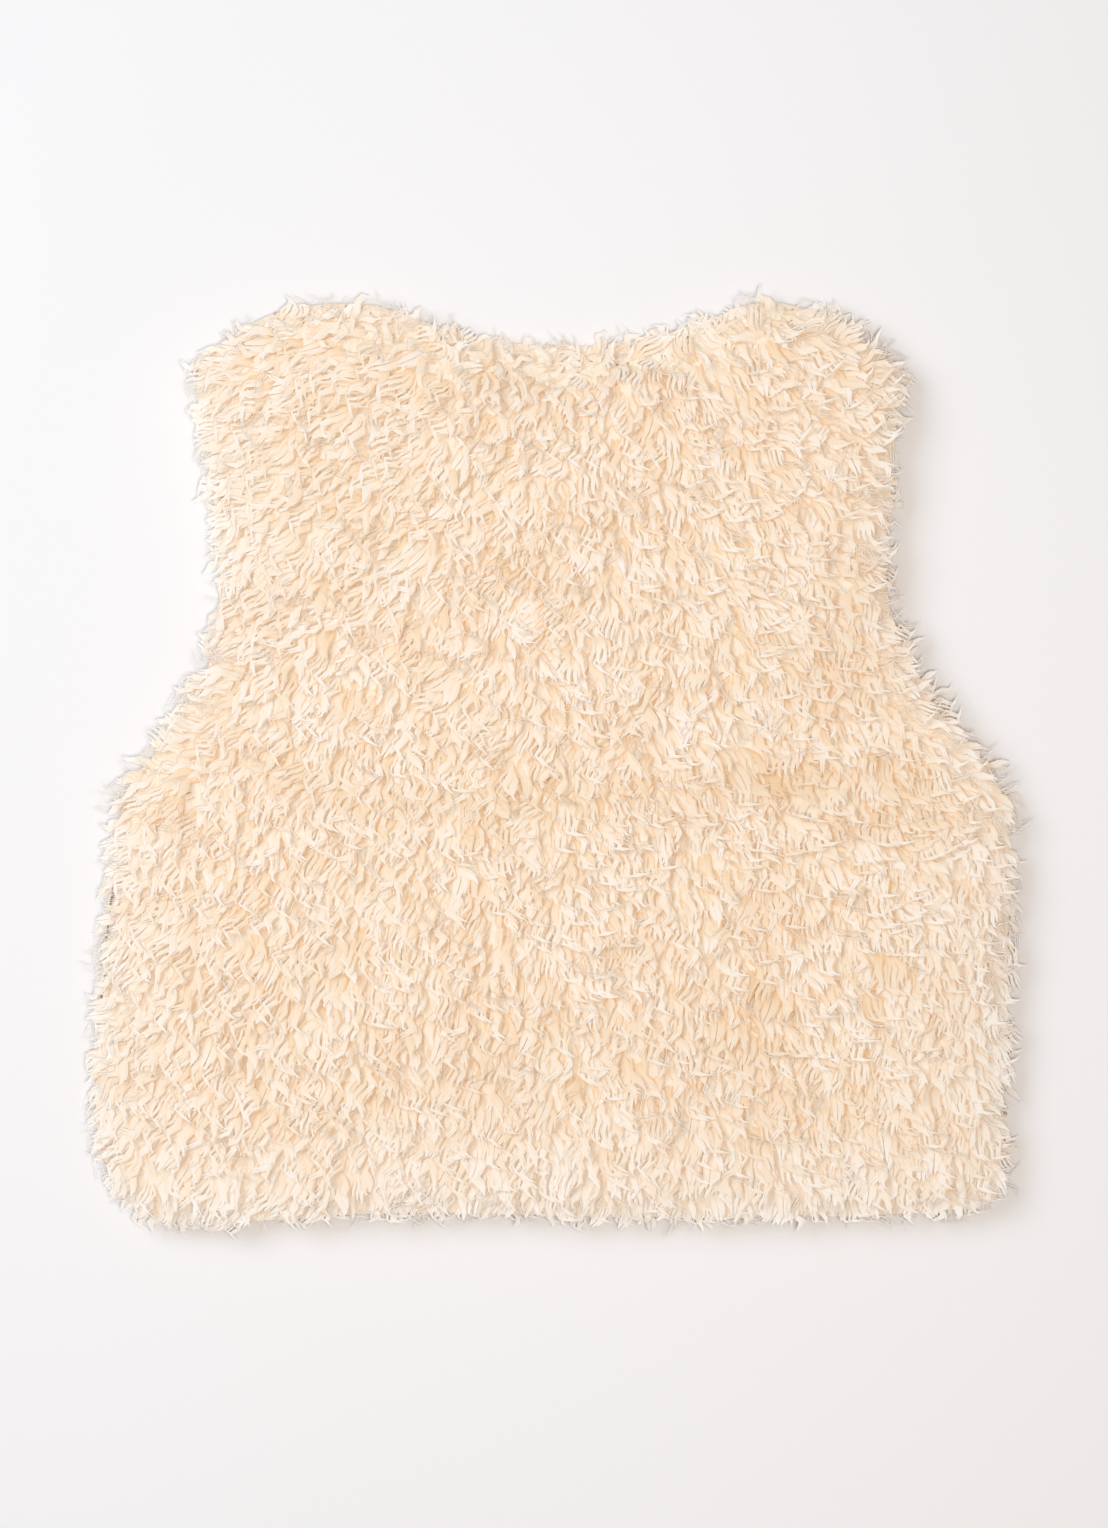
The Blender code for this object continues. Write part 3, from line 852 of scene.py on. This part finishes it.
def strand_rings(shape, layers, uv, centre, number, across, width, depth):
    """Adds one closed strand round a centre line."""
    ring_rows = HAIR_RINGS if width < HAIR_WIDTH else STRAND_RINGS
    tone = number / len(WISP_STRANDS)
    rings = []
    for s, swell in ring_rows:
        along = (centre(s + 0.02) - centre(s - 0.02)).normalized()
        side = along.cross(Vector((0.0, 0.0, 1.0))).normalized()
        up = side.cross(along)
        ring = []
        for k in range(STRAND_SIDES):
            # A quarter turn puts a ridge on top
            angle = math.tau * (k / STRAND_SIDES + 0.25)
            ring.append(shape.verts.new(
                centre(s)
                + side * math.cos(angle) * width / 2 * swell
                + up * math.sin(angle) * depth / 2 * swell))
            ring[-1][layers["reach"]] = s
            ring[-1][layers["across"]] = abs(2 * across + 0.45 * math.cos(angle))
        rings.append(ring)
    tip = shape.verts.new(centre(1.0))
    tip[layers["reach"]] = 1.0
    tip[layers["across"]] = abs(2 * across)
    for point in [point for ring in rings for point in ring] + [tip]:
        point[layers["strand"]] = tone

    def face(corners, spots):
        made_face = shape.faces.new(corners)
        for loop, spot in zip(made_face.loops, spots):
            loop[uv].uv = (spot[0] + number, spot[1])

    end = ring_rows[-1][0]
    for k in range(STRAND_SIDES):
        near, far = k / STRAND_SIDES, (k + 1) / STRAND_SIDES
        following = (k + 1) % STRAND_SIDES
        bands = zip(ring_rows, ring_rows[1:], rings, rings[1:])
        for (low_at, _), (high_at, _), low, high in bands:
            face((low[k], low[following], high[following], high[k]),
                 ((near, low_at), (far, low_at), (far, high_at), (near, high_at)))
        face((rings[-1][k], rings[-1][following], tip), ((near, end), (far, end), (near, 1.0)))
    face(rings[0][::-1], [(k / STRAND_SIDES, 0.0) for k in range(STRAND_SIDES)])

    # The long edges below the ridge stay sharp, so the upper faces are shaded by themselves
    for low, high in zip(rings, rings[1:] + [[tip] * STRAND_SIDES]):
        for k in range(1, STRAND_SIDES):
            shape.edges.get((low[k], high[k])).smooth = False


TREE_INPUTS = (
    ("Geometry", "NodeSocketGeometry"),
    ("Wisp shapes", "NodeSocketCollection"),
    ("Spacing", "NodeSocketFloat"),
    ("Stretch", "NodeSocketInt"),
    ("Size", "NodeSocketFloat"),
    ("Swirl", "NodeSocketFloat"),
    ("Flatness", "NodeSocketFloat"),
    ("Seed", "NodeSocketInt"),
    ("Material", "NodeSocketMaterial"),
)

# Most wisps to a square metre, before the least distance thins them
MOST_WISPS = 90000.0

# Eddies that the pile curls in: how fine they are, and how far they turn it, in radians
EDDY_SCALE = 34.0
EDDY_TURN = 3.6

# Ranges that each wisp draws from: turn, turn when flipped, lift, length and width
OWN_TURN = (-0.50, 0.50)
FLIPPED_TURN = (2.0, 3.3)
OWN_LIFT = (-0.05, 0.14)
OWN_LENGTH = (0.76, 1.12)
OWN_WIDTH = (0.80, 1.22)

# Height over the table below which the pile settles softly, and never through it
FLOOR_CUSHION = 0.0016

# What a combed backing stores on its points
COMBED = (
    "nap", "turn", "flip", "lift", "swirl", "long", "rim", "hollow", "pale", "out", "pile")

# What only the growing of the pile needs, and its finished mesh doesn't
OWN_ATTRIBUTES = ("nap", "turn", "flip", "lift", "swirl", "pile", "long", "stretch")


def pile_tree():
    """Geometry nodes that grow wisps of strands on a combed backing."""
    tree = bpy.data.node_groups.get("fur_pile")
    if tree:
        return tree
    tree = bpy.data.node_groups.new("fur_pile", "GeometryNodeTree")
    for name, kind in TREE_INPUTS:
        tree.interface.new_socket(name, in_out="INPUT", socket_type=kind)
    tree.interface.new_socket("Geometry", in_out="OUTPUT", socket_type="NodeSocketGeometry")
    g = Graph(tree)
    group = g.add("NodeGroupInput")
    given = {name: g.other(group, name) for name, _ in TREE_INPUTS}

    def named(name, kind="FLOAT"):
        return g.add("GeometryNodeInputNamedAttribute", {"Name": name}, data_type=kind)

    def chance(low, high, number):
        return g.add(
            "FunctionNodeRandomValue", {2: low, 3: high, "Seed": given["Seed"] + number},
            output=1, data_type="FLOAT")

    here = g.add(
        "FunctionNodeCompare", {2: named("stretch", "INT"), 3: given["Stretch"]},
        data_type="INT", operation="EQUAL")
    roots = g.add(
        "GeometryNodeDistributePointsOnFaces",
        {"Mesh": given["Geometry"], "Selection": here, "Distance Min": given["Spacing"],
         "Density Max": MOST_WISPS, "Density Factor": named("pile"), "Seed": given["Seed"]},
        distribute_method="POISSON")
    out = g.other(roots, "Normal")
    points = g.add(
        "GeometryNodeStoreNamedAttribute",
        {"Geometry": roots, "Name": "tint", "Value": chance(0.0, 1.0, 1)},
        data_type="FLOAT", domain="POINT")

    spot = g.add("GeometryNodeInputPosition")
    eddy = g.add("ShaderNodeTexNoise", {"Vector": spot, "Scale": EDDY_SCALE, "Detail": 1.0})
    swirl = given["Swirl"] * named("swirl")
    side = g.maths("SIGN", chance(-1.0, 1.0, 15))
    flipped = g.maths("LESS_THAN", chance(0.0, 1.0, 16), named("flip"))
    turn = ((eddy - 0.5) * EDDY_TURN + chance(*OWN_TURN, 3)) * swirl
    turn = turn + named("turn") + flipped * side * chance(*FLIPPED_TURN, 17)
    way = g.add(
        "ShaderNodeVectorRotate",
        {"Vector": named("nap", "FLOAT_VECTOR"), "Axis": out, "Angle": turn},
        rotation_type="AXIS_ANGLE")
    lift = named("lift") + chance(*OWN_LIFT, 5)
    heading = g.vector(
        "ADD", g.vector("SCALE", way, g.maths("COSINE", lift)),
        g.vector("SCALE", out, g.maths("SINE", lift)))
    stance = g.add(
        "FunctionNodeAxesToRotation",
        {"Primary Axis": heading, "Secondary Axis": named("out", "FLOAT_VECTOR")},
        primary_axis="Y", secondary_axis="Z")
    long = named("long") * given["Size"] * chance(*OWN_LENGTH, 4)
    wide = given["Size"] * chance(*OWN_WIDTH, 12)
    wide = wide * (1.0 - named("rim") * 0.25 + named("flip") * 0.12)
    flat = given["Flatness"] * wide * (1.0 - named("rim") * 0.62)
    scale = g.add("ShaderNodeCombineXYZ", {"X": wide, "Y": long, "Z": flat})
    shapes = g.add(
        "GeometryNodeCollectionInfo",
        {"Collection": given["Wisp shapes"], "Separate Children": True, "Reset Children": True})
    wisp = g.maths("FLOOR", chance(0.0, float(len(WISP_SHAPES)), 11))
    hair = g.maths("FLOOR", chance(0.0, float(len(HAIR_SHAPES)), 13)) + float(len(WISP_SHAPES))
    hair_share = named("rim") * (RIM_HAIR_SHARE - HAIR_SHARE) + HAIR_SHARE
    loose = g.maths("LESS_THAN", chance(0.0, 1.0, 14), hair_share)
    pick = wisp * (1.0 - loose) + hair * loose
    grown = g.add(
        "GeometryNodeInstanceOnPoints",
        {"Points": points, "Instance": shapes, "Pick Instance": True, "Instance Index": pick,
         "Rotation": stance, "Scale": scale})
    real = g.add("GeometryNodeRealizeInstances", {"Geometry": grown})
    place = g.add("GeometryNodeInputPosition")
    parts = g.add("ShaderNodeSeparateXYZ", {0: place}, output="Z")
    low = g.maths("MINIMUM", parts, FLOOR_CUSHION)
    settled = (
        g.maths("EXPONENT", (low - FLOOR_CUSHION) / FLOOR_CUSHION) * FLOOR_CUSHION
        + g.maths("MAXIMUM", parts - FLOOR_CUSHION, 0.0))
    resting = g.add(
        "ShaderNodeCombineXYZ",
        {"X": g.other(parts, "X"), "Y": g.other(parts, "Y"), "Z": settled})
    real = g.add("GeometryNodeSetPosition", {"Geometry": real, "Position": resting})
    dressed = g.add(
        "GeometryNodeSetMaterial", {"Geometry": real, "Material": given["Material"]})
    g.add("NodeGroupOutput", {"Geometry": dressed})
    return tree


def grow_pile(name, panel, **values):
    """Grows one stretch of pile on a backing and returns it as a plain mesh."""
    modifier = panel.modifiers.new("pile", "NODES")
    modifier.node_group = pile_tree()
    values["Wisp shapes"] = wisp_shapes()
    values["Material"] = strand_fur()
    for item in modifier.node_group.interface.items_tree:
        if item.in_out == "INPUT" and item.name in values:
            modifier[item.identifier] = values[item.name]
    graph = bpy.context.evaluated_depsgraph_get()
    mesh = bpy.data.meshes.new_from_object(panel.evaluated_get(graph))
    panel.modifiers.remove(modifier)
    mesh.name = name
    for attribute in OWN_ATTRIBUTES:
        if attribute in mesh.attributes:
            mesh.attributes.remove(mesh.attributes[attribute])
    mesh.shade_smooth()
    pile = bpy.data.objects.new(name, mesh)
    bpy.context.scene.collection.objects.link(pile)
    mesh.calc_loop_triangles()
    triangles = len(mesh.loop_triangles)
    print(f"{name}: {triangles} triangles")
    if not 0 < triangles < MOST_TRIANGLES:
        raise RuntimeError(f"{name} has {triangles} triangles")
    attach(pile, "root")
    return pile


class VEST_OT_front_panels(bpy.types.Operator):
    """Builds both fronts: their backings, pressed under the back, and their pile"""

    bl_idname = "vest.front_panels"
    bl_label = "Front panels"

    def execute(self, context):
        pile = sizes()
        for number, node in enumerate(("front_left", "front_right")):
            panel = backing(node + "_backing", node, -1, pile.pressed_depth, pile.front_inset, 3)
            fur = grow_pile(
                node + "_pile", panel, Spacing=pile.front_spacing, Stretch=0, Size=1.0,
                Swirl=0.4, Flatness=0.5, Seed=40 + number)
            rim = grow_pile(
                node + "_edge_pile", panel, Spacing=pile.edge_spacing, Stretch=1, Size=1.0,
                Swirl=0.6, Flatness=0.86, Seed=50 + number)
            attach(panel, "root")
            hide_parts(node)
        return {"FINISHED"}


class VEST_OT_back_panel(bpy.types.Operator):
    """Builds the back: its backing, over the fronts, and its pile in seven stretches"""

    bl_idname = "vest.back_panel"
    bl_label = "Back panel"

    def execute(self, context):
        pile = sizes()
        panel = backing("back_backing", "back", 1, pile.depth, pile.inset, 8)
        for number, (name, *_) in enumerate(BACK_STRETCHES):
            fur = grow_pile(
                name, panel, Spacing=pile.spacing, Stretch=number, Size=1.0, Swirl=0.7,
                Flatness=0.86, Seed=60 + number)
        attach(panel, "root")
        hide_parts("back")
        return {"FINISHED"}


class VEST_OT_studio(bpy.types.Operator):
    """Lays a pale table under the vest, and sets the lights and the camera over it"""

    bl_idname = "vest.studio"
    bl_label = "Studio"

    def execute(self, context):
        scene = context.scene
        stand = studio()
        mesh = bpy.data.meshes.new("studio_table")
        shape = bmesh.new()
        bmesh.ops.create_circle(shape, cap_ends=True, radius=TABLE_RADIUS, segments=64)
        shape.to_mesh(mesh)
        shape.free()
        mesh.materials.append(table_top())
        table = bpy.data.objects.new("studio_table", mesh)
        scene.collection.objects.link(table)

        world = bpy.data.worlds.new("studio_air")
        world.use_nodes = True
        air = world.node_tree.nodes["Background"]
        air.inputs["Color"].default_value = AIR_COLOUR
        air.inputs["Strength"].default_value = stand.fill
        scene.world = world

        area_light("key", KEY_PLACE, stand.key_size, stand.key_power, KEY_COLOUR)
        area_light(
            "overhead", OVERHEAD_PLACE, OVERHEAD_SIZE, stand.overhead_power, OVERHEAD_COLOUR)

        camera = bpy.data.cameras.new("photo_camera")
        camera.sensor_fit = "VERTICAL"
        camera.sensor_height = SENSOR_HEIGHT_MM
        seen = IMAGE_HEIGHT_PX * METRES_PER_PX
        camera.lens = SENSOR_HEIGHT_MM * stand.camera_height / seen
        camera.clip_end = 50.0
        eye = bpy.data.objects.new("photo_camera", camera)
        eye.location = (CAMERA_X, CAMERA_Y, stand.camera_height)
        scene.collection.objects.link(eye)
        scene.camera = eye
        scene.view_settings.view_transform = "Standard"
        return {"FINISHED"}


def area_light(name, place, side, power, colour):
    """A square light that faces the middle of the vest."""
    lamp = bpy.data.lights.new(name, "AREA")
    lamp.shape = "SQUARE"
    lamp.size = side
    lamp.energy = power
    lamp.color = colour
    holder = bpy.data.objects.new(name, lamp)
    holder.location = place
    holder.rotation_euler = (-place).to_track_quat("-Z", "Y").to_euler()
    bpy.context.scene.collection.objects.link(holder)


class VEST_PT_panel(bpy.types.Panel):
    """Lists the vest's pieces in the sidebar"""

    bl_idname = "VEST_PT_panel"
    bl_label = "Fur vest"
    bl_space_type = "VIEW_3D"
    bl_region_type = "UI"
    bl_category = "Fur vest"

    def draw(self, context):
        for group in (sizes(), colours(), studio()):
            box = self.layout.box()
            for name in group.__annotations__:
                box.prop(group, name)
        for operator in (VEST_OT_front_panels, VEST_OT_back_panel, VEST_OT_studio):
            self.layout.operator(operator.bl_idname)


CLASSES = (
    VestPile,
    VestColours,
    VestStudio,
    VEST_OT_front_panels,
    VEST_OT_back_panel,
    VEST_OT_studio,
    VEST_PT_panel,
)


def register():
    for owned in CLASSES:
        bpy.utils.register_class(owned)
    bpy.types.Scene.vest_pile = PointerProperty(type=VestPile)
    bpy.types.Scene.vest_colours = PointerProperty(type=VestColours)
    bpy.types.Scene.vest_studio = PointerProperty(type=VestStudio)


def unregister():
    del bpy.types.Scene.vest_studio
    del bpy.types.Scene.vest_colours
    del bpy.types.Scene.vest_pile
    for owned in reversed(CLASSES):
        bpy.utils.unregister_class(owned)


def main():
    register()
    bpy.ops.vest.front_panels()
    bpy.ops.vest.back_panel()
    bpy.ops.vest.studio()


if __name__ == "__main__":
    main()
